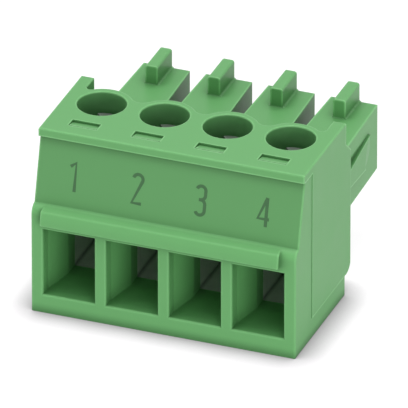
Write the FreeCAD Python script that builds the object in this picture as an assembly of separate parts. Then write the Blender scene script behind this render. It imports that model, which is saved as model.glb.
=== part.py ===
import FreeCAD, Part
import math
import os

# A four-pole pluggable terminal block. A green moulded plug holds four rising
# screw clamps for wires at its front and pushes onto a pin header at its back.
#
# Lengths are in millimetres. While a piece is shaped, X runs along the row from
# the middle of the plug, Y runs back from the front face, and Z runs up from the
# base. At the end every piece is moved once, so that the origin lies on the base
# under the middle of the whole plug.

# The row of poles
POLES = 4
PITCH = 3.81
END_MARGIN = 2.305          # from the last pole to the side face
HEIGHT = 11.1

# Play between pieces
SEAT = 0.03                 # between two mouldings that snap together
RUN = 0.05                  # round a piece that slides or turns
SIDE_STEP = 0.03            # the front frame stands in from the housing's sides

# Screw and clamping sleeve
SCREW_Y = 5.26              # the screws' axes, behind the front face
LEAD = 0.4
TURNS = 6
THREAD_R = 0.97
THREAD_FIT = 0.06           # radial play of the screw in the sleeve
HEAD_R = 1.2
HEAD_H = 0.85
HEAD_EDGE = 0.12
SLOT_W = 0.35
SLOT_DEPTH = 0.45
TIP_CHAMFER = 0.25
TIP_SHOWS = 0.5             # below the sleeve's threaded top, with the clamp open
SLEEVE_W = 2.9
SLEEVE_DEPTH = 3.4
SLEEVE_WALL = 0.35
SLEEVE_FLOOR = 0.6
SLEEVE_HEAD = 1.2           # the threaded top of the sleeve
SLEEVE_EDGE = 0.12
CLAMP_SPARE = 0.1           # between the raised sleeve's floor and the contact bar

# Contact
CONTACT_W = 1.9
BAR_T = 0.6
RISER_T = 0.55
RISER_GAP = 0.4             # from the chamber to the riser behind it
ARM_T = 0.3
ARM_SPREAD = 0.95           # from the pin's axis to an arm's outer face
ARM_PINCH = 0.3             # from the pin's axis to the arms where they pinch
ARM_FLARE = 0.22            # the arms open again by this much at their tips
TIP_BACK = 0.75             # from the fingers' end to the arms' tips
PINCH_BACK = 2.0            # from the fingers' end to the pinch

# Front frame
FRAME_DEPTH = 2.58
BASE_THICK = 1.3
BASE_DEPTH = 8.0
CHAMBER_FLOOR = 0.6
FACE_TOP = 6.2              # where the front face starts to round over
FOOT_Y = 0.5                # foot of the sloped marking face
FOOT_Z = 6.8
SLOPE_TOP_Y = 1.48
FRAME_EDGE = 0.08

# Bar above the wire openings: a falling ledge, a tight round and a crowned front
BAR_LEFT = 0.66             # from the left side face to the bar
BAR_RIGHT = 0.98
BAR_OUT = 0.33
BAR_LOW = 5.69
BAR_TUCK = 0.01             # the ledge starts this far below the foot of the marking face
BAR_FALL = 17.5             # degrees by which the ledge falls towards the front
BAR_ROUND = 0.14
BAR_CROWN = 2.0
BAR_HEEL = 0.1

# Wire openings
MOUTH_W = 3.13
MOUTH_LOW = 1.17
MOUTH_H = 4.2
MOUTH_DEPTH = 0.8
MOUTH_EDGE = 0.06
FUNNEL_END = 2.5
THROAT_STEP = 0.1           # the throat's walls stand this far inside the sleeve's window
BOSS_H = 4.7

# Snap hooks
HOOK_W = 1.7
HOOK_FRONT = 2.2
HOOK_BACK = 2.92
HOOK_DROP = 0.14            # the hook's ramp falls this far below the top
CATCH_H = 0.35              # the hook's barb below the top

# Rear housing
LIP_Y = 1.3
PLATE_T = 0.51
TOP_ROUND = 0.08
BORE_EDGE = 0.06
BACK_Y = 8.84
BACK_ROUND = 0.6
LEDGE_T = 0.4               # ledge that the screw head turns on
BORE_R = 1.42
LEDGE_PLAY = 0.11           # radial play of the screw's shank in the ledge
CEILING_SPARE = 0.1
TOWER_R = 1.82
VALLEY_Y = 0.91             # the rear edge between two towers, behind the screws' axes
END_VALLEY_R = 0.25         # where an end tower runs into the side wall
SIDE_WALL = 0.78
EAR_H = 0.73                # the side walls' slanted rear corners
CHAMBER_W = 3.0

# Fingers that reach into the header
FINGER_END = 15.6
FINGER_W = 2.82
FINGER_H = 4.1
FINGER_TAPER = 1.6          # degrees each side
FINGER_EDGE = 0.1
PIN_Z = 6.25
CAVITY_W = 2.0
CAVITY_H = 2.4
END_WALL = 0.5
PIN_HOLE = 1.2
PIN_LEAD_IN = 0.25
RIB_W = 0.75
RIB_OFF = 0.085             # the ribs stand this far left of their fingers' middles
RIB_H = 1.17
RIB_LENGTH = 2.33
RIB_ROOT = 0.12
RIB_ROUND = 0.15

# Guide rails on the outer sides of the two outer fingers
GUIDE_OUT = 0.12
GUIDE_TIP = (13.95, 7.22)   # rear end of its upper edge, in Y and Z
GUIDE_HEEL = (13.16, 5.32)  # rear end of its lower edge
GUIDE_TOP = 6.48            # its upper and lower edges at the housing
GUIDE_FOOT = 5.66
LEAD_IN = (13.2, 14.2)      # the curved lead-in starts and ends here at mid height
GROOVE_DEPTH = 0.3          # groove above the rail, at the housing
GROOVE_TOP = 7.55

# Points closer than this are the same point
TOUCH = 1e-4

# Sizes that follow
WIDTH = (POLES - 1) * PITCH + 2 * END_MARGIN
HALF = WIDTH / 2
POLE_X = [(number - (POLES - 1) / 2) * PITCH for number in range(POLES)]
TRAVEL = LEAD * TURNS
LIP_Z = HEIGHT - PLATE_T

SLEEVE_LOW = CHAMBER_FLOOR + RUN
WINDOW_LOW = SLEEVE_LOW + SLEEVE_FLOOR
BAR_BOTTOM = WINDOW_LOW + TRAVEL + CLAMP_SPARE
BAR_TOP = BAR_BOTTOM + BAR_T
SCREW_TIP = BAR_TOP + RUN
WINDOW_TOP = SCREW_TIP + TIP_SHOWS
SLEEVE_TOP = WINDOW_TOP + SLEEVE_HEAD
CEILING = SLEEVE_TOP + TRAVEL + CEILING_SPARE
LEDGE_Z = CEILING + LEDGE_T

CHAMBER_FRONT = SCREW_Y - SLEEVE_DEPTH / 2 - RUN
CHAMBER_BACK = SCREW_Y + SLEEVE_DEPTH / 2 + RUN
RISER_BACK = CHAMBER_BACK + RISER_GAP + RISER_T
POCKET_BACK = RISER_BACK + RUN
FINGER_LOW = PIN_Z - FINGER_H / 2
FINGER_TOP = PIN_Z + FINGER_H / 2
MID_Y = (FINGER_END - BAR_OUT) / 2


def point(x, y, z):
    return FreeCAD.Vector(x, y, z)


def box(x, y, z):
    """A block between a low and a high limit along X, Y and Z."""
    return Part.makeBox(x[1] - x[0], y[1] - y[0], z[1] - z[0], point(x[0], y[0], z[0]))


def face_through(place, start, steps):
    """A face bounded by lines, and by arcs where a step is a pair of points."""
    edges = []
    first = place(*start)
    here = first
    for step in steps:
        if isinstance(step[0], tuple):
            through = place(*step[0])
            there = place(*step[1])
            edges.append(Part.Arc(here, through, there).toShape())
        else:
            there = place(*step)
            edges.append(Part.LineSegment(here, there).toShape())
        here = there
    if not here.isEqual(first, TOUCH):
        edges.append(Part.LineSegment(here, first).toShape())
    return Part.Face(Part.Wire(edges))


def side_prism(x, start, steps):
    """A side profile in Y and Z, carried from one X to another."""
    face = face_through(lambda y, z: point(x[0], y, z), start, steps)
    return face.extrude(point(x[1] - x[0], 0, 0))


def plan_prism(z, start, steps):
    """A plan in X and Y, carried from one Z to another."""
    face = face_through(lambda across, y: point(across, y, z[0]), start, steps)
    return face.extrude(point(0, 0, z[1] - z[0]))


def rectangle(x, y, z):
    """A closed wire that faces along Y, between two limits in X and in Z."""
    corners = [(x[0], z[0]), (x[1], z[0]), (x[1], z[1]), (x[0], z[1]), (x[0], z[0])]
    return Part.makePolygon([point(across, y, up) for across, up in corners])


def taper(x, z, y, grow):
    """A square funnel along Y: its limits in X and Z grow by the given steps."""
    wide_x = (x[0] - grow[0], x[1] + grow[0])
    wide_z = (z[0] - grow[1], z[1] + grow[1])
    ends = [rectangle(wide_x, y[0], wide_z), rectangle(x, y[1], z)]
    return Part.makeLoft(ends, True, True)


def post(x, y, z, radius):
    """An upright round bar between two heights."""
    return Part.makeCylinder(radius, z[1] - z[0], point(x, y, z[0]))


def soften(shape, radius, wanted):
    """Round the edges whose middle point is wanted."""
    edges = [edge for edge in shape.Edges if wanted(middle(edge), edge)]
    return shape.makeFillet(radius, edges)


def middle(edge):
    low, high = edge.ParameterRange
    return edge.valueAt((low + high) / 2)


def near(value, target):
    return abs(value - target) < TOUCH


def around(centre, width):
    return (centre - width / 2, centre + width / 2)


def joined(first, others):
    """One solid out of touching solids."""
    return first.fuse(others).removeSplitter()


# Front frame: base plate, front wall with the wire funnels, marking face, hooks

def frame_body():
    """Base plate and front wall in one side profile."""
    half = HALF - SIDE_STEP
    round_r = (FOOT_Y ** 2 + (FOOT_Z - FACE_TOP) ** 2) / (2 * FOOT_Y)
    turn = math.atan2(FOOT_Z - FACE_TOP, round_r - FOOT_Y) / 2
    through = (round_r * (1 - math.cos(turn)), FACE_TOP + round_r * math.sin(turn))
    body = side_prism((-half, half), (0, 0), [
        (BASE_DEPTH, 0),
        (BASE_DEPTH, BASE_THICK),
        (FRAME_DEPTH, BASE_THICK),
        (FRAME_DEPTH, LIP_Z),
        (SLOPE_TOP_Y, LIP_Z),
        (FOOT_Y, FOOT_Z),
        (through, (0, FACE_TOP)),
    ])

    def corner(at, edge):
        on_side = near(abs(at.x), half)
        under_seam = near(at.z, BASE_THICK) or near(at.y, FRAME_DEPTH) or near(at.z, LIP_Z)
        return on_side and not under_seam

    return soften(body, FRAME_EDGE, corner)


def front_bar():
    """The bar that runs above the wire openings, drawn as one side profile."""
    fall = math.radians(BAR_FALL)
    rear = (FOOT_Y, FOOT_Z - BAR_TUCK)
    foot = BAR_LOW + BAR_HEEL
    crown = (BAR_CROWN - BAR_OUT, foot)
    depth = (rear[1] - crown[1]) * math.cos(fall) - (rear[0] - crown[0]) * math.sin(fall)
    lean = math.asin((depth - BAR_ROUND) / (BAR_CROWN - BAR_ROUND)) - fall
    inner = BAR_CROWN - BAR_ROUND
    bend = (crown[0] - inner * math.cos(lean), crown[1] + inner * math.sin(lean))

    def on_arc(centre, radius, turn):
        return (centre[0] - radius * math.cos(turn), centre[1] + radius * math.sin(turn))

    top = math.pi / 2 - fall
    heel = (BAR_HEEL - BAR_OUT, foot)
    ends = (-HALF + BAR_LEFT, HALF - BAR_RIGHT)
    bar = side_prism(ends, (FOOT_Y, BAR_LOW), [
        rear,
        on_arc(bend, BAR_ROUND, top),
        (on_arc(bend, BAR_ROUND, (top + lean) / 2), on_arc(bend, BAR_ROUND, lean)),
        (on_arc(crown, BAR_CROWN, lean / 2), on_arc(crown, BAR_CROWN, 0)),
        (on_arc(heel, BAR_HEEL, -math.pi / 4), on_arc(heel, BAR_HEEL, -math.pi / 2)),
    ])

    def end_edge(at, edge):
        return (near(at.x, ends[0]) or near(at.x, ends[1])) and at.y < 0

    return soften(bar, FRAME_EDGE, end_edge)


def wire_way(x):
    """Mouth, funnel and throat of one wire opening, as the space they leave."""
    mouth_z = (MOUTH_LOW, MOUTH_LOW + MOUTH_H)
    throat_x = around(x, SLEEVE_W - 2 * SLEEVE_WALL - 2 * THROAT_STEP)
    throat_z = (WINDOW_LOW + THROAT_STEP, WINDOW_TOP - THROAT_STEP)
    mouth = box(around(x, MOUTH_W), (0, MOUTH_DEPTH), mouth_z)
    edge = taper(around(x, MOUTH_W), mouth_z, (0, MOUTH_EDGE), (MOUTH_EDGE, MOUTH_EDGE))
    funnel = Part.makeLoft([
        rectangle(around(x, MOUTH_W), MOUTH_DEPTH, mouth_z),
        rectangle(throat_x, FUNNEL_END, throat_z),
    ], True, True)
    throat = box(throat_x, (FUNNEL_END, CHAMBER_FRONT), throat_z)
    return joined(mouth, [edge, funnel, throat])


def throat_boss(x):
    """The block behind the front wall that carries the throat up to the sleeve."""
    width = around(x, CHAMBER_W - 2 * SEAT)
    return box(width, (FRAME_DEPTH, CHAMBER_FRONT), (BASE_THICK, BASE_THICK + BOSS_H))


def snap_hook(x):
    """A hook on the frame's top edge, seen through a window in the top plate."""
    front = HOOK_FRONT + SEAT
    back = HOOK_BACK - SEAT
    barb = HEIGHT - CATCH_H + SEAT
    return side_prism(around(x, HOOK_W - 2 * SEAT), (front, LIP_Z), [
        (FRAME_DEPTH, LIP_Z),
        (FRAME_DEPTH, barb),
        (back, barb),
        (back, HEIGHT - HOOK_DROP),
        (front, HEIGHT),
    ])


def front_frame():
    pieces = [front_bar()]
    pieces += [throat_boss(x) for x in POLE_X]
    pieces += [snap_hook(x) for x in POLE_X]
    frame = joined(frame_body(), pieces)
    spaces = [wire_way(x) for x in POLE_X]
    for x in POLE_X:
        pocket = box(around(x, CHAMBER_W), (CHAMBER_FRONT, CHAMBER_BACK), (CHAMBER_FLOOR, BASE_THICK))
        spaces.append(pocket)
    return frame.cut(spaces)


# Rear housing: top plate with the screw towers, chambers, rear wall, fingers

def housing_block():
    """Everything below the ledges, from the front wall to the rear wall."""
    bend = BACK_Y - BASE_DEPTH
    through = (BASE_DEPTH + bend * math.sqrt(0.5), BASE_THICK + BACK_ROUND * (1 - math.sqrt(0.5)))
    block = side_prism((-HALF, HALF), (FRAME_DEPTH, BASE_THICK), [
        (BASE_DEPTH, BASE_THICK),
        (through, (BACK_Y, BASE_THICK + BACK_ROUND)),
        (BACK_Y, LEDGE_Z),
        (FRAME_DEPTH, LEDGE_Z),
    ])

    def rear_corner(at, edge):
        return near(abs(at.x), HALF) and near(at.y, BACK_Y)

    return soften(block, FRAME_EDGE, rear_corner)


def crown():
    """The screw towers between the side walls, with the scalloped rear edge."""
    inner = HALF - SIDE_WALL
    reach = TOWER_R - VALLEY_Y
    valley_r = ((PITCH / 2) ** 2 + VALLEY_Y ** 2 - TOWER_R ** 2) / (2 * reach)
    lean = math.atan2(VALLEY_Y + valley_r, PITCH / 2)
    side = (TOWER_R * math.cos(lean), SCREW_Y + TOWER_R * math.sin(lean))

    bend_x = inner - POLE_X[-1] - END_VALLEY_R
    bend_y = math.sqrt((TOWER_R + END_VALLEY_R) ** 2 - bend_x ** 2)
    end_lean = math.atan2(bend_y, bend_x)
    end = (TOWER_R * math.cos(end_lean), SCREW_Y + TOWER_R * math.sin(end_lean))
    half_turn = (math.pi + end_lean) / 2
    end_mid = (
        bend_x - END_VALLEY_R * math.cos(half_turn),
        SCREW_Y + bend_y - END_VALLEY_R * math.sin(half_turn),
    )

    steps = [(HALF, FRAME_DEPTH), (HALF, BASE_DEPTH), (inner, BASE_DEPTH)]
    steps.append((inner, SCREW_Y + bend_y))
    steps.append(((POLE_X[-1] + end_mid[0], end_mid[1]), (POLE_X[-1] + end[0], end[1])))
    for x in reversed(POLE_X[1:]):
        steps.append(((x, SCREW_Y + TOWER_R), (x - side[0], side[1])))
        valley = (x - PITCH / 2, SCREW_Y + VALLEY_Y)
        steps.append((valley, (x - PITCH + side[0], side[1])))
    steps.append(((POLE_X[0], SCREW_Y + TOWER_R), (POLE_X[0] - end[0], end[1])))
    steps.append(((POLE_X[0] - end_mid[0], end_mid[1]), (-inner, SCREW_Y + bend_y)))
    steps += [(-inner, BASE_DEPTH), (-HALF, BASE_DEPTH)]
    return plan_prism((LEDGE_Z, HEIGHT), (-HALF, FRAME_DEPTH), steps)


def top_plate():
    """Crown and the lip in front of it that lies over the front frame."""
    lip = box((-HALF, HALF), (LIP_Y, FRAME_DEPTH), (LIP_Z, HEIGHT))
    plate = joined(crown(), [lip])
    return soften(plate, TOP_ROUND, lambda at, edge: near(at.z, HEIGHT))


def ear(side):
    """The slanted rear corner of a side wall."""
    x = sorted((side * HALF, side * (HALF - SIDE_WALL)))
    return side_prism(x, (BASE_DEPTH, LEDGE_Z), [(BACK_Y, LEDGE_Z), (BASE_DEPTH, LEDGE_Z + EAR_H)])


def finger_half_width(y):
    return FINGER_W / 2 + (FINGER_END - y) * math.tan(math.radians(FINGER_TAPER))


def finger(x):
    """One tapered finger, with its rounded rear corners."""
    root = finger_half_width(BACK_Y)
    end = FINGER_W / 2
    body = plan_prism((FINGER_LOW, FINGER_TOP), (x - root, BACK_Y), [
        (x + root, BACK_Y),
        (x + end, FINGER_END),
        (x - end, FINGER_END),
    ])
    return soften(body, FINGER_EDGE, lambda at, edge: near(at.y, FINGER_END))


def rib(x):
    """The keying rib on a finger's top, splayed at its root."""
    half = RIB_W / 2
    foot = half + RIB_ROOT
    top = FINGER_TOP + RIB_H
    root_bend = RIB_ROOT * (1 - math.sqrt(0.5))
    bend = RIB_ROUND * (1 - math.sqrt(0.5))
    front = FINGER_END - RIB_LENGTH
    face = face_through(lambda across, up: point(x - RIB_OFF + across, front, up), (-foot, FINGER_TOP), [
        (foot, FINGER_TOP),
        ((half + root_bend, FINGER_TOP + root_bend), (half, FINGER_TOP + RIB_ROOT)),
        (half, top - RIB_ROUND),
        ((half - bend, top - bend), (half - RIB_ROUND, top)),
        (-half + RIB_ROUND, top),
        ((-half + bend, top - bend), (-half, top - RIB_ROUND)),
        (-half, FINGER_TOP + RIB_ROOT),
        ((-half - root_bend, FINGER_TOP + root_bend), (-foot, FINGER_TOP)),
    ])
    return face.extrude(point(0, RIB_LENGTH, 0))


def on_finger_side(side, y, z, out):
    """A point that stands out by a given amount from an outer finger's side."""
    return point(side * (POLE_X[-1] + finger_half_width(y) + out), y, z)


def guide_rail(side):
    """The raised guide on an outer finger, with its lens-shaped lead-in."""
    middle_z = (GUIDE_TIP[1] + GUIDE_HEEL[1]) / 2
    wires = []
    for out, bend_y in ((0, LEAD_IN[1]), (GUIDE_OUT, LEAD_IN[0])):
        rail = face_through(
            lambda y, z: on_finger_side(side, y, z, out),
            (BACK_Y, GUIDE_FOOT),
            [GUIDE_HEEL, ((bend_y, middle_z), GUIDE_TIP), (BACK_Y, GUIDE_TOP)],
        )
        wires.append(rail.OuterWire)
    return Part.makeLoft(wires, True, True)


def groove(side):
    """The wedge-shaped groove above a guide rail, as the space it leaves."""
    corners = [
        on_finger_side(side, BACK_Y, GROOVE_TOP, 0),
        on_finger_side(side, BACK_Y, GUIDE_TOP, -GROOVE_DEPTH),
        on_finger_side(side, BACK_Y, GUIDE_TOP, GROOVE_DEPTH),
    ]
    mouth = Part.makePolygon(corners + corners[:1])
    tip = Part.Vertex(on_finger_side(side, *GUIDE_TIP, 0))
    return Part.makeLoft([mouth, tip], True, True)


def pole_space(x):
    """Chamber, contact pocket, screw bore and pin way of one pole."""
    pocket_low = BAR_BOTTOM - RUN
    pin_y = (FINGER_END - END_WALL, FINGER_END)
    lead_y = (FINGER_END, FINGER_END - PIN_LEAD_IN)
    cavity_z = around(PIN_Z, CAVITY_H)
    hole = (around(x, PIN_HOLE), around(PIN_Z, PIN_HOLE))
    return [
        box(around(x, CHAMBER_W), (FRAME_DEPTH, CHAMBER_FRONT), (BASE_THICK, BASE_THICK + BOSS_H + SEAT)),
        box(around(x, CHAMBER_W), (CHAMBER_FRONT, CHAMBER_BACK), (BASE_THICK, CEILING)),
        box(around(x, CAVITY_W), (CHAMBER_BACK, POCKET_BACK), (pocket_low, cavity_z[1])),
        box(around(x, CAVITY_W), (POCKET_BACK, FINGER_END - END_WALL), cavity_z),
        box(hole[0], pin_y, hole[1]),
        taper(hole[0], hole[1], lead_y, (PIN_LEAD_IN, PIN_LEAD_IN)),
        post(x, SCREW_Y, (CEILING, LEDGE_Z), THREAD_R + LEDGE_PLAY),
        post(x, SCREW_Y, (LEDGE_Z, HEIGHT), BORE_R),
    ]


def hook_window(x):
    """The stepped window in the top plate that a snap hook catches in."""
    catch_z = HEIGHT - CATCH_H
    return [
        box(around(x, HOOK_W), (HOOK_FRONT, FRAME_DEPTH + SEAT), (LIP_Z, HEIGHT)),
        box(around(x, HOOK_W), (HOOK_FRONT, HOOK_BACK), (catch_z, HEIGHT)),
    ]


def rear_housing():
    pieces = [top_plate(), ear(-1), ear(1)]
    pieces += [finger(x) for x in POLE_X]
    pieces += [rib(x) for x in POLE_X]
    pieces += [guide_rail(-1), guide_rail(1)]
    housing = joined(housing_block(), pieces)
    spaces = [groove(-1), groove(1)]
    for x in POLE_X:
        spaces += pole_space(x)
        spaces += hook_window(x)
    housing = housing.cut(spaces)

    return soften(housing, BORE_EDGE, lambda at, edge: near(at.z, HEIGHT) and edge.isClosed())


# Clamp: sleeve, screw and contact of one pole

def tension_sleeve(x):
    """The open sleeve that the screw raises to press a wire to the contact."""
    across = around(x, SLEEVE_W)
    along = around(SCREW_Y, SLEEVE_DEPTH)
    body = box(across, along, (SLEEVE_LOW, SLEEVE_TOP))

    def long_edge(at, edge):
        return near(at.y, SCREW_Y)

    body = soften(body, SLEEVE_EDGE, long_edge)
    window = box(around(x, SLEEVE_W - 2 * SLEEVE_WALL), along, (WINDOW_LOW, WINDOW_TOP))
    thread = post(x, SCREW_Y, (WINDOW_TOP, SLEEVE_TOP), THREAD_R + THREAD_FIT)
    return body.cut([window, thread])


def clamp_screw(x):
    """A slotted cheese-head screw, whose tip stops just above the contact bar."""
    low = LEDGE_Z + RUN
    high = low + HEAD_H
    head = post(x, SCREW_Y, (low, high), HEAD_R)
    head = soften(head, HEAD_EDGE, lambda at, edge: near(at.z, high))
    shank = post(x, SCREW_Y, (SCREW_TIP, low), THREAD_R)
    tip = [edge for edge in shank.Edges if near(middle(edge).z, SCREW_TIP)]
    shank = shank.makeChamfer(TIP_CHAMFER, tip)
    slot = box(around(x, SLOT_W), around(SCREW_Y, 2 * HEAD_R), (high - SLOT_DEPTH, high))
    return joined(head, [shank]).cut(slot)


def contact_arm(x, side):
    """One spring arm of the socket that takes the header's pin."""
    def place(y, out):
        return point(x - CONTACT_W / 2, y, PIN_Z + side * out)
    pinch = FINGER_END - PINCH_BACK
    tip = FINGER_END - TIP_BACK
    face = face_through(place, (RISER_BACK, ARM_SPREAD), [
        (RISER_BACK, ARM_SPREAD - ARM_T),
        (pinch, ARM_PINCH),
        (tip, ARM_PINCH + ARM_FLARE),
        (tip, ARM_PINCH + ARM_FLARE + ARM_T),
        (pinch, ARM_PINCH + ARM_T),
    ])
    return face.extrude(point(CONTACT_W, 0, 0))


def contact(x):
    """A bar through the sleeve, a riser behind it, and two arms in the finger."""
    across = around(x, CONTACT_W)
    front = SCREW_Y - SLEEVE_DEPTH / 2 + RUN
    bar = box(across, (front, RISER_BACK), (BAR_BOTTOM, BAR_TOP))
    riser = box(across, (RISER_BACK - RISER_T, RISER_BACK), (BAR_BOTTOM, PIN_Z + ARM_SPREAD))
    return joined(bar, [riser, contact_arm(x, -1), contact_arm(x, 1)])


def save(name, shape):
    """Write one piece, moved so that the origin lies under the plug's middle."""
    shape.translate(point(0, -MID_Y, 0))
    shape.exportStep(os.path.join("parts", name + ".step"))


def main():
    os.makedirs("parts", exist_ok=True)
    save("front_frame", front_frame())
    save("rear_housing", rear_housing())
    for number, x in enumerate(POLE_X, start=1):
        save(f"tension_sleeve_{number}", tension_sleeve(x))
        save(f"clamp_screw_{number}", clamp_screw(x))
        save(f"contact_{number}", contact(x))


main()
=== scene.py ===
# %% [markdown]
# # A four-pole plug with rising screw clamps
#
# The real thing is a small green plug, 16 mm long. Wires go in at the front, screws on top pull
# metal sleeves up to clamp them, and the fingers at the back push onto a row of pins. Its two
# mouldings, its screws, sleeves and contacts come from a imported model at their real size. This
# lesson gives them their finishes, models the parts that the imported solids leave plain, and lights
# a small studio.
#
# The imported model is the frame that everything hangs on, so it is loaded first and nothing in it
# moves.

import math

import bpy
from mathutils import Matrix, Vector


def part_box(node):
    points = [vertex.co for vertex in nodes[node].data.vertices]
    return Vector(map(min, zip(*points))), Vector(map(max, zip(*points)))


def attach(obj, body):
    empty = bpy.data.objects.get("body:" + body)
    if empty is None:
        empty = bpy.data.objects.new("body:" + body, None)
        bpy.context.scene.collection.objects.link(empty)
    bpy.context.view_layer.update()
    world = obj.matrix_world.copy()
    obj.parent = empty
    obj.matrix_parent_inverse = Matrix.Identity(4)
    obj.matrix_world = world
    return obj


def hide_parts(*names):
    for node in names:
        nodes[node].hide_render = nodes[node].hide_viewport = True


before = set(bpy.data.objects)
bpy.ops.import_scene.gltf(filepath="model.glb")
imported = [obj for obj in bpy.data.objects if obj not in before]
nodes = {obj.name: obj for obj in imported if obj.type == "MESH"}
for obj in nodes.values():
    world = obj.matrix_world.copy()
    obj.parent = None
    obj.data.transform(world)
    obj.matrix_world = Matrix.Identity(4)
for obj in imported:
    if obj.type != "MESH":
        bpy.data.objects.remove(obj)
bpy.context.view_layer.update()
scene = bpy.context.scene
print("nodes in the frame:", len(nodes))

# %% [markdown]
# Sizes here are written in millimetres, the way a drawing gives them, and turned into metres by
# one named factor. Places aren't typed in again: they are measured on the loaded pieces, so the
# looks follow the model if it changes. A pole's middle is the middle of its screw.

# %% Measure the poles
MM = 0.001
POLES = sorted(int(name.rsplit("_", 1)[1]) for name in nodes if name.startswith("clamp_screw_"))


def middle_of(node):
    low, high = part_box(node)
    return (low + high) / 2


pole_middle = {pole: middle_of(f"clamp_screw_{pole}") for pole in POLES}
print("poles:", {pole: round(place.x / MM, 3) for pole, place in pole_middle.items()})

# %% [markdown]
# ## The studio
#
# The world and every material are drawn as nodes. Three short helpers keep that drawing readable:
# one joins sockets, one does a sum, and one stretches a range of values over another.

# %% Node helpers


def link(tree, *pairs):
    """Join sockets, each pair from an output to an input."""
    for start, end in pairs:
        tree.links.new(start, end)


def math_node(tree, operation, *values):
    """A math node with numbers or linked sockets as its inputs."""
    node = tree.nodes.new("ShaderNodeMath")
    node.operation = operation
    for index, value in enumerate(values):
        if isinstance(value, bpy.types.NodeSocket):
            tree.links.new(value, node.inputs[index])
        else:
            node.inputs[index].default_value = value
    return node.outputs[0]


def map_range(tree, value, source=(0.0, 1.0), target=(0.0, 1.0)):
    """Stretch the part of a mask that lies in source over target."""
    node = tree.nodes.new("ShaderNodeMapRange")
    node.inputs["From Min"].default_value, node.inputs["From Max"].default_value = source
    node.inputs["To Min"].default_value, node.inputs["To Max"].default_value = target
    tree.links.new(value, node.inputs["Value"])
    return node.outputs[0]


print("node helpers:", link.__name__, math_node.__name__, map_range.__name__)

# %% [markdown]
# A plain level of light shows a colour about as it is written. A third of it comes from the world,
# as it would from dim walls all round, and the rest from lamps. What the camera, a mirror or a
# pane sees of the world is pure white, and Light Path tells those rays from the ones that light
# the object.

# %% World
SKY_LEVEL = 0.33

scene.view_settings.view_transform = "Standard"
world = bpy.data.worlds.new("white_room")
scene.world = world
world.use_nodes = True
tree = world.node_tree
tree.nodes.clear()
path = tree.nodes.new("ShaderNodeLightPath").outputs
mirrored = math_node(tree, "MAXIMUM", path["Is Glossy Ray"], path["Is Transmission Ray"])
seen = math_node(tree, "MAXIMUM", path["Is Camera Ray"], mirrored)
sky = tree.nodes.new("ShaderNodeBackground")
sky.inputs["Color"].default_value = (1, 1, 1, 1)
sky_out = tree.nodes.new("ShaderNodeOutputWorld")
link(
    tree,
    (map_range(tree, seen, target=(SKY_LEVEL, 1.0)), sky.inputs["Strength"]),
    (sky.outputs[0], sky_out.inputs["Surface"]),
)
print("sky level for light:", SKY_LEVEL)

# %% [markdown]
# The floor is a sheet of white paper under the plug. It has to do two jobs. For light that bounces
# it is plain white, so the lower faces get their share. For the camera and for reflections it is a
# greyer paper with a glow added, so that the open floor reaches pure white and the shadow doesn't
# take on the plug's green. The glow fades where the plug stands close, which paints a soft contact
# shadow along the base. An Ambient Occlusion node measures how open a point is. It gets a helper,
# because the plastic and the metals use it too, and so does mixing two colours by a mask.

# %% Openness and colour mixes


def openness(tree, reach, samples, own_walls=False):
    """How open a point is within a reach, from 0 to 1, or only among the walls of its own piece."""
    node = tree.nodes.new("ShaderNodeAmbientOcclusion")
    node.samples = samples
    node.only_local = own_walls
    node.inputs["Distance"].default_value = reach
    return node.outputs["AO"]


def mix_colour(tree, amount, first, second):
    """A colour mix, each side a colour or a linked socket."""
    node = tree.nodes.new("ShaderNodeMix")
    node.data_type = "RGBA"
    tree.links.new(amount, node.inputs["Factor"])
    colours = [socket for socket in node.inputs if socket.type == "RGBA"]
    for target, value in zip(colours, (first, second)):
        if isinstance(value, bpy.types.NodeSocket):
            tree.links.new(value, target)
        else:
            target.default_value = (*value, 1)
    return next(socket for socket in node.outputs if socket.type == "RGBA")


print("colour helpers:", openness.__name__, mix_colour.__name__)

# %% [markdown]
# The paper is wide enough to fill the picture. It isn't part of the plug.

# %% Floor
FLOOR_SIZE = 1.2
PAPER_WHITE = (0.86, 0.86, 0.86)
PAPER_SEEN = (0.20, 0.18, 0.20)
PAPER_ROUGH = 0.9
PAPER_GLOSS = 0.1
FLOOR_GLOW = 0.92
PAINTED_SHADOW_REACH = 1.9 * MM
PAINTED_SHADOW_POWER = 1.6
PAINTED_SHADOW_SAMPLES = 16

bpy.ops.object.select_all(action="DESELECT")
bpy.ops.mesh.primitive_plane_add(size=FLOOR_SIZE, location=(0, 0, 0))
floor = bpy.context.object
floor.name = "paper_floor"
paper = bpy.data.materials.new("white_paper")
paper.use_nodes = True
tree = paper.node_tree
shader = tree.nodes["Principled BSDF"]
shader.inputs["Roughness"].default_value = PAPER_ROUGH
shader.inputs["Specular IOR Level"].default_value = PAPER_GLOSS
shader.inputs["Emission Color"].default_value = (1, 1, 1, 1)
path = tree.nodes.new("ShaderNodeLightPath").outputs
seen = math_node(tree, "MAXIMUM", path["Is Camera Ray"], path["Is Glossy Ray"])
open_floor = openness(tree, PAINTED_SHADOW_REACH, PAINTED_SHADOW_SAMPLES)
# Painted shadow: the glow that the camera sees dims close to the plug.
painted_shadow_fade = math_node(tree, "POWER", open_floor, PAINTED_SHADOW_POWER)
glow = math_node(tree, "MULTIPLY", math_node(tree, "MULTIPLY", painted_shadow_fade, FLOOR_GLOW), seen)
link(
    tree,
    (mix_colour(tree, seen, PAPER_WHITE, PAPER_SEEN), shader.inputs["Base Color"]),
    (glow, shader.inputs["Emission Strength"]),
)
floor.data.materials.append(paper)
print("floor:", floor.name, FLOOR_SIZE, "m")

# %% [markdown]
# The white room lights every open face alike, so it is kept dim, and three soft boxes give the
# plug its form, as for a catalogue picture. The strongest hangs overhead and makes the top the
# brightest face. Two stand low in front, on the right and on the left: the right one reaches into
# the wire openings and lights their left walls, but hardly their floors. A soft box is an area
# lamp that is large for its distance, so no shadow has a hard edge. It is placed by the direction
# that it shines from.

# %% Soft boxes
BOX_SIZE = 0.14
BOX_DISTANCE = 0.25


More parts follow.
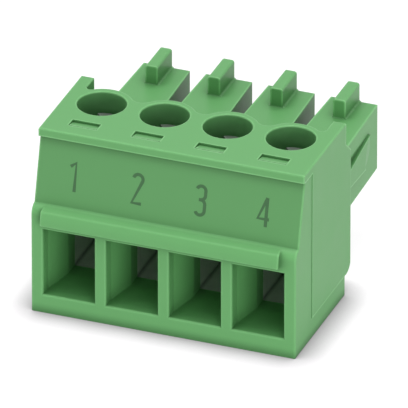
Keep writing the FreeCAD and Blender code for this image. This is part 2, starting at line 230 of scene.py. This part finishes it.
def direction(azimuth, elevation):
    """The way from the plug to a lamp or a camera, from two angles in degrees."""
    turn, rise = math.radians(azimuth), math.radians(elevation)
    flat = math.cos(rise)
    return Vector((math.sin(turn) * flat, -math.cos(turn) * flat, math.sin(rise)))


def soft_box(name, azimuth, elevation, power):
    """An area lamp that faces the plug from a given direction, in degrees."""
    back = direction(azimuth, elevation)
    lamp = bpy.data.lights.new(name, "AREA")
    lamp.shape = "DISK"
    lamp.size = BOX_SIZE
    lamp.energy = power
    holder = bpy.data.objects.new(name, lamp)
    holder.location = back * BOX_DISTANCE
    holder.rotation_euler = back.to_track_quat("Z", "Y").to_euler()
    scene.collection.objects.link(holder)
    print(f"{name}: {power} W from azimuth {azimuth}, elevation {elevation}")


soft_box("top_box", azimuth=0, elevation=85, power=0.36)
soft_box("right_box", azimuth=47, elevation=7, power=0.222)
soft_box("left_box", azimuth=-60, elevation=8, power=0.12)

# %% [markdown]
# ## The camera
#
# The picture has no vanishing point: edges that are parallel on the plug are parallel in it. A
# very long lens from far away gives that view. The camera looks along one fixed direction at one
# point inside the plug, and the distance follows from the width that the frame has to show.

# %% Camera
VIEW_AZIMUTH = 20.87
VIEW_ELEVATION = 28.74
FRAME_WIDTH = 23.13 * MM
AIM = Vector((0.112, -1.440, 5.275)) * MM
LENS = 1500
SENSOR = 36
NEAREST = 0.01
FARTHEST = 5

back = direction(VIEW_AZIMUTH, VIEW_ELEVATION)
lens = bpy.data.cameras.new("long_lens")
lens.lens = LENS
lens.sensor_width = SENSOR
lens.clip_start = NEAREST
lens.clip_end = FARTHEST
camera = bpy.data.objects.new("long_lens", lens)
camera.location = AIM + back * (LENS * FRAME_WIDTH / SENSOR)
camera.rotation_euler = back.to_track_quat("Z", "Y").to_euler()
scene.collection.objects.link(camera)
scene.camera = camera
print("camera distance:", round(camera.location.length, 4), "m")

# %% [markdown]
# ## Surface effects as node groups
#
# A moulded face isn't perfectly even. The mould's eroded steel leaves a fine grain, and the
# cooling plastic leaves broad, faint patches. Both come from noise on Object coordinates, which
# stay with the piece. The group takes sizes in millimetres, and puts out a height for a bump and a
# mask for tone.

# %% Moulded grain group
FINE_DETAIL = 3
BROAD_DETAIL = 4
PATCH_SHARE = 0.6


def new_group(name, inputs, outputs):
    """An empty shader group with named sockets, each given as a name and a type."""
    group = bpy.data.node_groups.new(name, "ShaderNodeTree")
    for socket, kind in inputs:
        group.interface.new_socket(name=socket, in_out="INPUT", socket_type=f"NodeSocket{kind}")
    for socket, kind in outputs:
        group.interface.new_socket(name=socket, in_out="OUTPUT", socket_type=f"NodeSocket{kind}")
    start = group.nodes.new("NodeGroupInput").outputs
    return group, start, group.nodes.new("NodeGroupOutput").inputs


def noise_of_size(tree, coordinates, size_mm, detail):
    """Noise whose blotches are about size_mm across."""
    node = tree.nodes.new("ShaderNodeTexNoise")
    node.inputs["Detail"].default_value = detail
    scale = math_node(tree, "DIVIDE", 1 / MM, size_mm)
    link(tree, (coordinates, node.inputs["Vector"]), (scale, node.inputs["Scale"]))
    return node.outputs["Fac"]


grain_group, start, end = new_group(
    "moulded_grain",
    [("Coordinates", "Vector"), ("Grain mm", "Float"), ("Patch mm", "Float")],
    [("Height", "Float"), ("Tone", "Float")],
)
fine = noise_of_size(grain_group, start["Coordinates"], start["Grain mm"], FINE_DETAIL)
broad = noise_of_size(grain_group, start["Coordinates"], start["Patch mm"], BROAD_DETAIL)
raised = math_node(grain_group, "MULTIPLY_ADD", broad, PATCH_SHARE, fine)
link(grain_group, (raised, end["Height"]), (broad, end["Tone"]))
print("group:", grain_group.name)

# %% [markdown]
# Outer edges get a painted highlight: a paler green that stands in for light catching them. To find
# them, an Ambient Occlusion node looks into the piece instead of out of it: under a flat face there
# is nothing but solid, while close to an outer edge the next face is soon met. The group turns that
# into a mask from 0 on a face to 1 on an edge. It works on sharp and on rounded edges, and ignores
# inner corners.

# %% Painted edge highlight group
EDGE_SAMPLES = 16
EDGE_FULL = 0.64
EDGE_NONE = 0.97

highlight_edge_group, start, end = new_group("painted_edge_highlight", [("Reach mm", "Float")], [("Mask", "Float")])
inward = highlight_edge_group.nodes.new("ShaderNodeAmbientOcclusion")
inward.inside = True
inward.only_local = True
inward.samples = EDGE_SAMPLES
reach = math_node(highlight_edge_group, "MULTIPLY", start["Reach mm"], MM)
painted_highlight_mask = map_range(highlight_edge_group, inward.outputs["AO"], source=(EDGE_NONE, EDGE_FULL))
link(highlight_edge_group, (reach, inward.inputs["Distance"]), (painted_highlight_mask, end["Mask"]))
print("group:", highlight_edge_group.name)

# %% [markdown]
# Plated metal shows fine lines from rolling or turning, and cloudy patches where the plating has
# dulled. The lines are noise that is drawn out along one direction. The coordinates come in from
# outside, so a sheet can draw them out along its length and a screw can wrap them round its axis.

# %% Plating group
LINE_DETAIL = 4
CLOUD_DETAIL = 5

plating_group, start, end = new_group(
    "plating",
    [
        ("Coordinates", "Vector"),
        ("Line coordinates", "Vector"),
        ("Cloud mm", "Float"),
        ("Line mm", "Float"),
    ],
    [("Height", "Float"), ("Cloud", "Float")],
)
lines = noise_of_size(plating_group, start["Line coordinates"], start["Line mm"], LINE_DETAIL)
cloud = noise_of_size(plating_group, start["Coordinates"], start["Cloud mm"], CLOUD_DETAIL)
link(plating_group, (lines, end["Height"]), (cloud, end["Cloud"]))
print("group:", plating_group.name)

# %% [markdown]
# ## Green moulded plastic
#
# Both mouldings are glass-filled polyamide: a calm green with a satin sheen. The sloping face at
# the front carries the numbers and looks a little darker than the rest, so it gets a green of its
# own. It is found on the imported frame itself: of all triangles that look forward and a little up,
# the normal with the most area is the marking face's. Its lowest and highest corners give the
# length of the slope.

# %% Find the marking face
FORWARD = -0.9
SLIGHTLY_UP = 0.1

frame_mesh = nodes["front_frame"].data
slopes = {}
for face in frame_mesh.polygons:
    if face.normal.y < FORWARD and face.normal.z > SLIGHTLY_UP:
        slopes.setdefault(round(face.normal.z, 3), []).append(face)
widest = max(slopes.values(), key=lambda faces: sum(face.area for face in faces))
face_out = widest[0].normal.copy()
corners = [frame_mesh.vertices[index].co for face in widest for index in face.vertices]
foot = min(corners, key=lambda place: place.z).copy()
top = max(corners, key=lambda place: place.z).copy()
face_right = Vector((1, 0, 0))
face_up = face_out.cross(face_right)
slope_long = (top - foot).dot(face_up)
lean = math.degrees(math.acos(face_up.z))
print("marking face:", round(slope_long / MM, 2), "mm long, leaning", round(lean, 1), "degrees")
print("its foot:", round(foot.z / MM, 2), "mm up")

# %% [markdown]
# In the material, a point is on the marking face if it looks the same way and lies above the
# face's foot. The height keeps out the rounded bar below, part of which looks that way too.

# %% Marking face mask
SAME_WAY = 0.995


def on_marking_face(tree):
    """1 where a face looks along the marking face's normal and lies above its foot, 0 elsewhere."""
    place = tree.nodes.new("ShaderNodeTexCoord").outputs
    along = tree.nodes.new("ShaderNodeVectorMath")
    along.operation = "DOT_PRODUCT"
    along.inputs[1].default_value = face_out
    parts = tree.nodes.new("ShaderNodeSeparateXYZ")
    link(tree, (place["Normal"], along.inputs[0]), (place["Object"], parts.inputs[0]))
    facing = math_node(tree, "GREATER_THAN", along.outputs["Value"], SAME_WAY)
    above = math_node(tree, "GREATER_THAN", parts.outputs["Z"], foot.z)
    return math_node(tree, "MULTIPLY", facing, above)


print("marking face mask: normals within", round(math.degrees(math.acos(SAME_WAY)), 1), "degrees")

# %% [markdown]
# The grain group's tone mixes two greens that are close together and shifts the roughness, and
# edges take a paler third green as a painted highlight. Deep in its openings the plastic gets a
# fuller, darker green, which is painted shade. An Ambient Occlusion node with a long reach finds
# those places. It counts the piece's own walls only, so that the paper below doesn't dull the
# outside. One with a short reach finds the corners where two faces meet, which get painted shade
# too.

# %% Greens
GREEN = (0.160, 0.452, 0.159)
GREEN_DEEP = (0.152, 0.432, 0.151)
GREEN_PAINTED_HIGHLIGHT = (0.265, 0.640, 0.260)
GREEN_PAINTED_RECESS_SHADE = (0.090, 0.275, 0.090)
GREEN_PAINTED_CORNER_SHADE = (0.068, 0.210, 0.068)
GREEN_MARKED = (0.125, 0.347, 0.124)
RECESS_REACH = 3 * MM
RECESS_RANGE = (0.35, 1.0)
CORNER_REACH = 0.65 * MM
CORNER_RANGE = (0.50, 1.0)
OPENNESS_SAMPLES = 12


def green_colour(tree, tone, edge):
    """The plastic's colour from the grain's tone, with painted shade in hollows and a painted
    highlight on edges.
    """
    plain = mix_colour(tree, tone, GREEN_DEEP, GREEN)
    faced = mix_colour(tree, on_marking_face(tree), plain, GREEN_MARKED)
    far = openness(tree, RECESS_REACH, OPENNESS_SAMPLES, own_walls=True)
    near = openness(tree, CORNER_REACH, OPENNESS_SAMPLES)
    open_far = map_range(tree, far, source=RECESS_RANGE)
    open_near = map_range(tree, near, source=CORNER_RANGE)
    # Painted shade: darker greens in corners and deep recesses.
    with_painted_corner_shade = mix_colour(tree, open_near, GREEN_PAINTED_CORNER_SHADE, faced)
    with_painted_recess_shade = mix_colour(tree, open_far, GREEN_PAINTED_RECESS_SHADE, with_painted_corner_shade)
    # Painted highlight: outer edges take the paler green, except in corners.
    return mix_colour(tree, math_node(tree, "MULTIPLY", edge, open_near), with_painted_recess_shade, GREEN_PAINTED_HIGHLIGHT)


print("green on open faces:", GREEN)

# %% [markdown]
# A group is drawn once and placed in each material that uses it, with its own values.

# %% Placing a group


def place_group(tree, group, **values):
    """Put a node group into a material, with its number inputs set."""
    node = tree.nodes.new("ShaderNodeGroup")
    node.node_tree = group
    for name, value in values.items():
        node.inputs[name.replace("_", " ")].default_value = value
    return node


def object_place(tree):
    """Coordinates that stay with the piece."""
    return tree.nodes.new("ShaderNodeTexCoord").outputs["Object"]


print("groups to place:", [group.name for group in bpy.data.node_groups])

# %% [markdown]
# The Bevel node rounds the corners for the light alone. It feeds the Bump node, so that light
# catches the edges as it does on real ones. The material then goes on both mouldings.

# %% Green plastic
PLASTIC_IOR = 1.5
PLASTIC_GLOSS = 0.30
PLASTIC_ROUGH = (0.38, 0.50)
CORNER_ROUND = 0.12 * MM
CORNER_SAMPLES = 8
GRAIN_STRENGTH = 0.5
GRAIN_DEPTH = 0.004 * MM
MOULDINGS = ("front_frame", "rear_housing")

plastic = bpy.data.materials.new("green_polyamide")
plastic.use_nodes = True
tree = plastic.node_tree
shader = tree.nodes["Principled BSDF"]
shader.inputs["IOR"].default_value = PLASTIC_IOR
shader.inputs["Specular IOR Level"].default_value = PLASTIC_GLOSS
rounded = tree.nodes.new("ShaderNodeBevel")
rounded.samples = CORNER_SAMPLES
rounded.inputs["Radius"].default_value = CORNER_ROUND
grain = place_group(tree, grain_group, Grain_mm=0.07, Patch_mm=1.6)
# The edge mask for the painted highlight.
edges = place_group(tree, highlight_edge_group, Reach_mm=0.13)
bump = tree.nodes.new("ShaderNodeBump")
bump.inputs["Strength"].default_value = GRAIN_STRENGTH
bump.inputs["Distance"].default_value = GRAIN_DEPTH
colour = green_colour(tree, grain.outputs["Tone"], edges.outputs["Mask"])
rough = map_range(tree, grain.outputs["Tone"], target=PLASTIC_ROUGH)
link(
    tree,
    (object_place(tree), grain.inputs["Coordinates"]),
    (rounded.outputs["Normal"], bump.inputs["Normal"]),
    (grain.outputs["Height"], bump.inputs["Height"]),
    (bump.outputs["Normal"], shader.inputs["Normal"]),
    (colour, shader.inputs["Base Color"]),
    (rough, shader.inputs["Roughness"]),
)


def give(node, material):
    """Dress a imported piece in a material."""
    slots = nodes[node].data.materials
    slots.clear()
    slots.append(material)


for name in MOULDINGS:
    give(name, plastic)
print("green plastic on", len(MOULDINGS), "mouldings")

# %% [markdown]
# ## Plated metal
#
# The sleeves are bent from thick plated sheet, the contacts are stamped from tinned sheet and the
# screws are turned steel. All three are the same recipe with other values: a metallic base that
# varies with the cloudy mask, and a bump from fine lines that run along the piece. Slots and inner
# corners get painted shade, a darker colour, and a short Ambient Occlusion finds them.

# %% Plated metal recipe
METAL_PAINTED_SHADE = (0.14, 0.17, 0.15)
HOLLOW_REACH = 0.4 * MM
HOLLOW_RANGE = (0.25, 0.85)
HOLLOW_SAMPLES = 8
CLOUD_MM = 0.9
LINE_STRENGTH = 0.6
LINE_DEPTH = 0.002 * MM


def plated(name, bright, dull, roughness, line_scale, line_mm, source=None):
    """A plated metal, its lines long where line_scale is small, or laid after an attribute."""
    material = bpy.data.materials.new(name)
    material.use_nodes = True
    tree = material.node_tree
    shader = tree.nodes["Principled BSDF"]
    shader.inputs["Metallic"].default_value = 1.0
    place = object_place(tree)
    line_place = place
    if source:
        attribute = tree.nodes.new("ShaderNodeAttribute")
        attribute.attribute_name = source
        line_place = attribute.outputs["Vector"]
    drawn_out = tree.nodes.new("ShaderNodeMapping")
    drawn_out.inputs["Scale"].default_value = line_scale
    plating = place_group(tree, plating_group, Cloud_mm=CLOUD_MM, Line_mm=line_mm)
    bump = tree.nodes.new("ShaderNodeBump")
    bump.inputs["Strength"].default_value = LINE_STRENGTH
    bump.inputs["Distance"].default_value = LINE_DEPTH
    painted_shade_openness = openness(tree, HOLLOW_REACH, HOLLOW_SAMPLES)
    unshaded_metal = mix_colour(tree, plating.outputs["Cloud"], bright, dull)
    # Painted shade: slots and inner corners take the darker colour.
    colour = mix_colour(tree, map_range(tree, painted_shade_openness, source=HOLLOW_RANGE), METAL_PAINTED_SHADE, unshaded_metal)
    rough = map_range(tree, plating.outputs["Cloud"], target=roughness)
    link(
        tree,
        (line_place, drawn_out.inputs["Vector"]),
        (place, plating.inputs["Coordinates"]),
        (drawn_out.outputs["Vector"], plating.inputs["Line coordinates"]),
        (plating.outputs["Height"], bump.inputs["Height"]),
        (bump.outputs["Normal"], shader.inputs["Normal"]),
        (colour, shader.inputs["Base Color"]),
        (rough, shader.inputs["Roughness"]),
    )
    return material


print("plating: clouds of", CLOUD_MM, "mm")

# %% [markdown]
# Nickel is pale with a soft sheen, tin is greyer and smoother, and the screws' zinc is the
# darkest. The faint green in the nickel and zinc colours is a painted reflection of the green
# plastic round them. The rolled sheets have their lines along Y: a small scale on that axis draws
# the noise out there. The screws read their lines from an attribute, which is written on them
# further down.

# %% Nickel, tin and zinc
ALONG_Y = (1, 0.08, 1)
EVEN = (1, 1, 1)
ROLLED_LINE_MM = 0.05
TURNED_LINE_MM = 0.04

# The green tint in these colours is a painted reflection of the plastic.
nickel = plated(
    name="nickel_plate",
    bright=(0.82, 0.90, 0.82),
    dull=(0.68, 0.76, 0.68),
    roughness=(0.54, 0.74),
    line_scale=ALONG_Y,
    line_mm=ROLLED_LINE_MM,
)
tin = plated(
    name="tin_plate",
    bright=(0.60, 0.60, 0.59),
    dull=(0.46, 0.46, 0.46),
    roughness=(0.36, 0.52),
    line_scale=ALONG_Y,
    line_mm=ROLLED_LINE_MM,
)
zinc = plated(
    name="zinc_plate",
    bright=(0.46, 0.48, 0.46),
    dull=(0.33, 0.35, 0.34),
    roughness=(0.38, 0.58),
    line_scale=EVEN,
    line_mm=TURNED_LINE_MM,
    source="turned",
)
for pole in POLES:
    give(f"tension_sleeve_{pole}", nickel)
    give(f"contact_{pole}", tin)
print("plated sheet on", 2 * len(POLES), "pieces")

# %% [markdown]
# ## Clamp screws
#
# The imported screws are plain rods, because their thread is too fine for a simulation. Here the
# screw gets its thread. A thread is one short profile carried round and up at the same time, which
# is what the Screw modifier does. The profile is drawn as by hand: a point, extruded from corner
# to corner through one pitch. The object's origin is on the axis, because the modifier turns about
# it. The first turn runs below the screw's point, because a helix starts raggedly and gets cut
# there.

# %% Thread profile
PITCH_OF_THREAD = 0.4 * MM
THREAD_CORNERS = ((0.80, 0.0), (0.80, 0.05), (0.96, 0.17), (0.96, 0.23), (0.80, 0.35), (0.80, 0.4))
RUN_IN_TURNS = 1.07

first = POLES[0]
screw_low, screw_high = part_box(f"clamp_screw_{first}")
axis = pole_middle[first]


def draw_profile(corners):
    """A chain of edges through (radius, height) corners in mm, drawn from one point."""
    bpy.ops.mesh.primitive_plane_add(size=MM, location=(axis.x, axis.y, screw_low.z))
    bpy.ops.object.mode_set(mode="EDIT")
    bpy.ops.mesh.select_all(action="SELECT")
    bpy.ops.mesh.merge(type="CENTER")
    last = (0.0, RUN_IN_TURNS * PITCH_OF_THREAD / MM)
    for index, corner in enumerate(corners):
        step = ((corner[0] - last[0]) * MM, 0, (corner[1] - last[1]) * MM)
        if index == 0:
            bpy.ops.transform.translate(value=step)
        else:
            bpy.ops.mesh.extrude_vertices_move(TRANSFORM_OT_translate={"value": step})
        last = corner
    bpy.ops.object.mode_set(mode="OBJECT")
    return bpy.context.object


bpy.ops.object.select_all(action="DESELECT")
shank = draw_profile(THREAD_CORNERS)
shank.name = "screw_shank"
print("thread profile:", len(shank.data.vertices), "corners")

# %% [markdown]
# The modifier takes the profile round in 37 steps, an odd number, so that no corner of the helix
# falls in a plane that is cut later. A few turns more than the shank needs leave something to cut.

# %% Thread
THREAD_STEPS = 37
SPARE_TURNS = 3
HAIR = 1e-7

turns = math.ceil((screw_high.z - screw_low.z) / PITCH_OF_THREAD) + SPARE_TURNS
bpy.ops.object.modifier_add(type="SCREW")
helix = shank.modifiers[-1]
helix.angle = 2 * math.pi
helix.screw_offset = PITCH_OF_THREAD
helix.iterations = turns
helix.steps = THREAD_STEPS
helix.render_steps = THREAD_STEPS
helix.use_merge_vertices = True
helix.merge_threshold = HAIR
bpy.ops.object.modifier_apply(modifier=helix.name)
print("thread:", turns, "turns,", len(shank.data.polygons), "faces")

# %% [markdown]
# The turns of the helix still lie side by side unjoined, so their doubles are merged. Two flat
# cuts then trim the ragged ends and close them. The upper cut is hidden in the head. The lower cap
# is drawn down and in, to the blunt point that finds the sleeve's hole.

# %% Trim the ends and draw the point
HEAD_THICK = 0.85 * MM
TIP_DROP = 0.25 * MM
TIP_SHARE = 0.72


def trim(height, clear_above):
    """Cut the active mesh level at a height, close the cut and keep one side."""
    bpy.ops.mesh.select_all(action="SELECT")
    bpy.ops.mesh.bisect(
        plane_co=(axis.x, axis.y, height),
        plane_no=(0, 0, 1),
        use_fill=True,
        clear_outer=clear_above,
        clear_inner=not clear_above,
        threshold=HAIR,
    )


head_foot = screw_high.z - HEAD_THICK
bpy.ops.object.mode_set(mode="EDIT")
bpy.ops.mesh.select_all(action="SELECT")
bpy.ops.mesh.remove_doubles(threshold=HAIR)
trim(head_foot + PITCH_OF_THREAD / 2, clear_above=True)
trim(screw_low.z + TIP_DROP, clear_above=False)
bpy.ops.mesh.extrude_region_move(TRANSFORM_OT_translate={"value": (0, 0, -TIP_DROP)})
bpy.ops.transform.resize(value=(TIP_SHARE, TIP_SHARE, 1))
bpy.ops.mesh.select_all(action="SELECT")
bpy.ops.mesh.normals_make_consistent(inside=False)
bpy.ops.object.mode_set(mode="OBJECT")
print("shank:", len(shank.data.polygons), "faces")

# %% [markdown]
# The head is a short cylinder with a rounded rim. Edges are chosen in code by where they lie: here
# all edges whose two ends are at the top, and then those at the foot, which get a smaller round.

# %% Head
HEAD_RADIUS = 1.2 * MM
HEAD_SIDES = 64
RIM_ROUND = 0.12 * MM
RIM_STEPS = 4


def pick_edges(piece, wanted):
    """Select the edges for which wanted(a, b) holds, a and b being the places of their ends."""
    bpy.ops.object.mode_set(mode="EDIT")
    bpy.ops.mesh.select_mode(type="EDGE")
    bpy.ops.mesh.select_all(action="DESELECT")
    bpy.ops.object.mode_set(mode="OBJECT")
    points = piece.data.vertices
    for edge in piece.data.edges:
        a, b = (piece.matrix_world @ points[index].co for index in edge.vertices)
        edge.select = wanted(a, b)
    bpy.ops.object.mode_set(mode="EDIT")


def both_at(height):
    return lambda a, b: max(abs(a.z - height), abs(b.z - height)) < HAIR


bpy.ops.object.select_all(action="DESELECT")
head_middle = Vector((axis.x, axis.y, (head_foot + screw_high.z) / 2))
bpy.ops.mesh.primitive_cylinder_add(
    vertices=HEAD_SIDES, radius=HEAD_RADIUS, depth=HEAD_THICK, location=head_middle
)
head = bpy.context.object
at_top = both_at(screw_high.z)
pick_edges(head, at_top)
bpy.ops.mesh.bevel(offset=RIM_ROUND, segments=RIM_STEPS, affect="EDGES")
pick_edges(head, both_at(head_foot))
bpy.ops.mesh.bevel(offset=RIM_ROUND / 2, segments=RIM_STEPS // 2, affect="EDGES")
bpy.ops.object.mode_set(mode="OBJECT")
print("head:", len(head.data.polygons), "faces")

# %% [markdown]
# The slot is cut by a Boolean with a thin box, as a saw would, and its edges at the top are eased
# a little. A second Boolean joins head and shank, so that the screw is one closed skin.

# %% Cut the slot and join the shank
SLOT_WIDE = 0.35 * MM
SLOT_LONG = 3 * HEAD_RADIUS
SLOT_DEEP = 0.45 * MM
SLOT_EASE = 0.03 * MM
SLOT_TURN = math.radians(43)


def select_only(piece):
    """Make a piece the only selected one, and the active one."""
    bpy.ops.object.select_all(action="DESELECT")
    piece.select_set(True)
    bpy.context.view_layer.objects.active = piece


def boolean(piece, other, operation):
    """Join or cut with a second piece, which is used up."""
    select_only(piece)
    bpy.ops.object.modifier_add(type="BOOLEAN")
    tool = piece.modifiers[-1]
    tool.operation = operation
    tool.solver = "EXACT"
    tool.object = other
    bpy.ops.object.modifier_apply(modifier=tool.name)
    bpy.data.objects.remove(other)


def along_slot(a, b):
    """True for an edge at the top that runs along the slot."""
    return at_top(a, b) and max(abs((end - axis).dot(across)) for end in (a, b)) < SLOT_WIDE


bpy.ops.object.select_all(action="DESELECT")
bpy.ops.mesh.primitive_cube_add(size=1, location=(axis.x, axis.y, screw_high.z))
saw = bpy.context.object
bpy.ops.transform.resize(value=(SLOT_WIDE, SLOT_LONG, 2 * SLOT_DEEP))
saw.rotation_euler.z = SLOT_TURN
boolean(head, saw, "DIFFERENCE")
across = Vector((math.cos(SLOT_TURN), math.sin(SLOT_TURN), 0))
pick_edges(head, along_slot)
bpy.ops.mesh.bevel(offset=SLOT_EASE, segments=2, affect="EDGES")
bpy.ops.object.mode_set(mode="OBJECT")
boolean(head, shank, "UNION")
print("screw:", len(head.data.polygons), "faces")

# %% [markdown]
# A lathe leaves rings round the axis. To let the material draw them, each point of the mesh gets
# an attribute of its own: its distance from the axis and its height. A noise that reads those two
# can only vary in rings.

# %% Dress the screw
SHARP = math.radians(30)


def settle(piece, name):
    """Put a piece's place into its mesh, and name both."""
    select_only(piece)
    bpy.ops.object.transform_apply(location=True, rotation=True, scale=True)
    piece.name = name
    piece.data.name = name


settle(head, f"threaded_screw_{first}")
bpy.ops.object.shade_smooth_by_angle(angle=SHARP)
turned = head.data.attributes.new("turned", "FLOAT_VECTOR", "POINT")
for vertex in head.data.vertices:
    away = vertex.co - axis
    turned.data[vertex.index].vector = (math.hypot(away.x, away.y), 0, vertex.co.z)
head.data.materials.clear()
head.data.materials.append(zinc)
heights = [vertex.co.z / MM for vertex in head.data.vertices]
print("screw from", round(min(heights), 3), "to", round(max(heights), 3), "mm")

# %% [markdown]
# The finished screw is copied to the other poles, each copy with its own mesh. Every screw rides
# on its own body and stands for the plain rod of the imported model.

# %% Copy the screws
screws = {first: head}
for pole in POLES[1:]:
    select_only(head)
    bpy.ops.object.duplicate()
    bpy.ops.transform.translate(value=pole_middle[pole] - axis)
    screws[pole] = bpy.context.object
    settle(screws[pole], f"threaded_screw_{pole}")
for pole, screw in screws.items():
    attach(screw, f"screw_{pole}")
    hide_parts(f"clamp_screw_{pole}")
print("screws:", len(screws))

# %% [markdown]
# ## Numbers on the marking face
#
# Each pole has its number on the sloping face, pad printed in dark green. The numbers are drawn
# the way a plotter writes: one line of even width with round bends. Each stroke is a list of
# points on a small sheet, in millimetres, with its middle at 0, 0. Arcs are given by centre,
# radius and two angles.

# %% Strokes of the numbers
TALL = 1.69
HALF = TALL / 2
ARC_STEP = 12
FLAG = (-0.27, HALF - 0.24)
STEM_1 = 0.05
BEND_2 = 0.285
BEND_3 = 0.27
NIB_3 = -0.10
WAIST = 0.045
STEM_4 = 0.16
BAR_4 = 0.34
BAR_DROP = -0.40


def arc(x, y, radius, start, end):
    """Points along an arc, in mm, from one angle to another in degrees."""
    count = max(2, round(abs(end - start) / ARC_STEP))
    angles = [math.radians(start + (end - start) * step / count) for step in range(count + 1)]
    return [(x + radius * math.cos(angle), y + radius * math.sin(angle)) for angle in angles]


upper_bowl = arc(0, HALF - BEND_3, BEND_3, 160, 0) + arc(0, WAIST + BEND_3, BEND_3, 0, -90)
lower_bowl = arc(0, WAIST - BEND_3, BEND_3, 90, 0) + arc(0, BEND_3 - HALF, BEND_3, 0, -160)
number_strokes = {
    1: [[FLAG, (STEM_1, HALF), (STEM_1, -HALF)]],
    2: [arc(0, HALF - BEND_2, BEND_2, 165, -23) + [(-BEND_2, -HALF), (BEND_2, -HALF)]],
    3: [upper_bowl + [(NIB_3, WAIST)], [(NIB_3, WAIST)] + lower_bowl],
    4: [
        [(STEM_4, HALF), (-BAR_4, BAR_DROP), (BAR_4, BAR_DROP)],
        [(STEM_4, HALF), (STEM_4, -HALF)],
    ],
}
print("strokes:", {number: len(strokes) for number, strokes in number_strokes.items()})

# %% [markdown]
# The ink is a matte dark green. It soaks in unevenly, so its tone and roughness vary with the same
# grain as the plastic, at a finer size. Its bump is only faint, because the film is so thin.

# %% Ink
INK = (0.042, 0.128, 0.046)
INK_THIN = (0.056, 0.160, 0.060)
INK_IOR = 1.45
INK_ROUGH = (0.50, 0.66)
INK_GRAIN_STRENGTH = 0.3
INK_GRAIN_DEPTH = 0.001 * MM

ink = bpy.data.materials.new("dark_green_ink")
ink.use_nodes = True
tree = ink.node_tree
shader = tree.nodes["Principled BSDF"]
shader.inputs["IOR"].default_value = INK_IOR
grain = place_group(tree, grain_group, Grain_mm=0.03, Patch_mm=0.25)
bump = tree.nodes.new("ShaderNodeBump")
bump.inputs["Strength"].default_value = INK_GRAIN_STRENGTH
bump.inputs["Distance"].default_value = INK_GRAIN_DEPTH
link(
    tree,
    (object_place(tree), grain.inputs["Coordinates"]),
    (grain.outputs["Height"], bump.inputs["Height"]),
    (bump.outputs["Normal"], shader.inputs["Normal"]),
    (mix_colour(tree, grain.outputs["Tone"], INK, INK_THIN), shader.inputs["Base Color"]),
    (map_range(tree, grain.outputs["Tone"], target=INK_ROUGH), shader.inputs["Roughness"]),
)
print("ink:", ink.name)

# %% [markdown]
# A curve with a round bevel follows each stroke and makes a tube. The tubes of a number are made a
# mesh, flattened to a thin film with a slightly domed top, as printed ink has, and joined where
# the strokes cross.

# %% Draw a number
INK_WIDE = 0.20 * MM
INK_THICK = 0.024 * MM
BEVEL_STEPS = 3


def draw_number(strokes):
    """One mesh for a number, lying flat round the origin."""
    curve = bpy.data.curves.new("strokes", "CURVE")
    curve.dimensions = "3D"
    curve.bevel_depth = INK_WIDE / 2
    curve.bevel_resolution = BEVEL_STEPS
    curve.use_fill_caps = True
    for points in strokes:
        spline = curve.splines.new("POLY")
        spline.points.add(len(points) - 1)
        for point, (x, y) in zip(spline.points, points):
            point.co = (x * MM, y * MM, 0, 1)
    piece = bpy.data.objects.new("strokes", curve)
    scene.collection.objects.link(piece)
    select_only(piece)
    bpy.ops.object.convert(target="MESH")
    bpy.ops.object.mode_set(mode="EDIT")
    bpy.ops.mesh.select_all(action="SELECT")
    bpy.ops.mesh.remove_doubles(threshold=HAIR)
    bpy.ops.transform.resize(value=(1, 1, INK_THICK / INK_WIDE))
    bpy.ops.mesh.intersect_boolean(operation="UNION", use_self=True, solver="EXACT")
    bpy.ops.mesh.select_all(action="SELECT")
    bpy.ops.mesh.normals_make_consistent(inside=False)
    bpy.ops.object.mode_set(mode="OBJECT")
    return bpy.context.object


print("ink film:", INK_THICK / MM, "mm thick, half of it below the face")

# %% [markdown]
# Each number is drawn flat and then turned on to the slope. A matrix of the face's three
# directions does the turning: right, up and out.

# %% Print the numbers
UP_SHARE = 0.458

on_to_slope = Matrix((face_right, face_up, face_out)).transposed().to_4x4()
for pole in POLES:
    number = draw_number(number_strokes[pole])
    middle = foot + face_up * (slope_long * UP_SHARE)
    middle.x = pole_middle[pole].x
    number.matrix_world = Matrix.Translation(middle) @ on_to_slope
    settle(number, f"printed_number_{pole}")
    bpy.ops.object.shade_smooth_by_angle(angle=SHARP)
    number.data.materials.append(ink)
    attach(number, "housing")
    print(number.name, len(number.data.polygons), "faces, middle z", round(middle.z / MM, 2))
